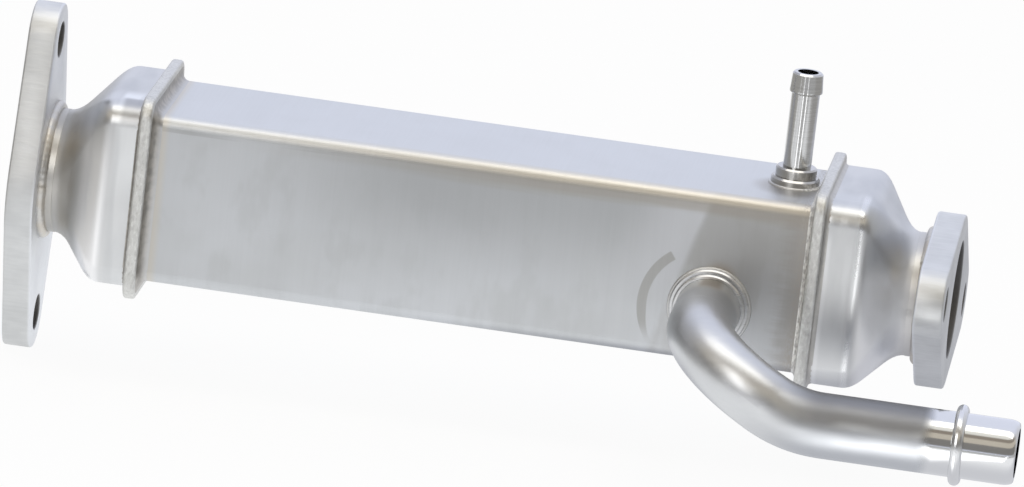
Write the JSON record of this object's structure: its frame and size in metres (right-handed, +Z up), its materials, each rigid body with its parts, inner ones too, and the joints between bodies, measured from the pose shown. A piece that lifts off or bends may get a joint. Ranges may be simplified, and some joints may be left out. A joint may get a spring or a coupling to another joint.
{
  "type": "egr cooler",
  "caption": "Square stainless exhaust gas cooler with a tube bundle inside, square-to-round headers, two-bolt flanges, a bent coolant pipe and a bleed nipple.",
  "frame": {"origin": "middle between the inlet flange's two bolt holes, in its mating face", "axes": "+X along the gas path from inlet to outlet, -Y towards the coolant pipe, +Z up towards the bleed nipple"},
  "size_m": [0.29, 0.1308, 0.1103],
  "materials": {
    "flange_steel": "ground plate, fine vertical grain",
    "header_steel": "pressed stainless sheet, satin",
    "plate_steel": "sheared plate with braze along its edges",
    "shell_steel": "brushed stainless sheet with a faint heat tint",
    "pipe_steel": "drawn tube, half polished",
    "turned_steel": "turned, bright",
    "tube_steel": "drawn tube, dull"
  },
  "bodies": {
    "root": {"inlet_flange": "flange_steel", "inlet_header": "header_steel", "inlet_tube_plate": "plate_steel", "shell": "shell_steel", "outlet_tube_plate": "plate_steel", "outlet_header": "header_steel", "outlet_flange": "flange_steel", "coolant_pipe": "pipe_steel", "pipe_collar": "turned_steel", "bleed_nipple": "turned_steel", "nipple_seat": "turned_steel", "baffle_1": "plate_steel", "baffle_2": "plate_steel", "gas_tube_01": "tube_steel", "gas_tube_02": "tube_steel", "gas_tube_03": "tube_steel", "gas_tube_04": "tube_steel", "gas_tube_05": "tube_steel", "gas_tube_06": "tube_steel", "gas_tube_07": "tube_steel", "gas_tube_08": "tube_steel", "gas_tube_09": "tube_steel", "gas_tube_10": "tube_steel", "gas_tube_11": "tube_steel", "gas_tube_12": "tube_steel", "gas_tube_13": "tube_steel", "gas_tube_14": "tube_steel", "gas_tube_15": "tube_steel", "gas_tube_16": "tube_steel", "gas_tube_17": "tube_steel", "gas_tube_18": "tube_steel", "gas_tube_19": "tube_steel", "gas_tube_20": "tube_steel", "gas_tube_21": "tube_steel", "gas_tube_22": "tube_steel", "gas_tube_23": "tube_steel", "gas_tube_24": "tube_steel", "gas_tube_25": "tube_steel"}
  },
  "joints": []
}
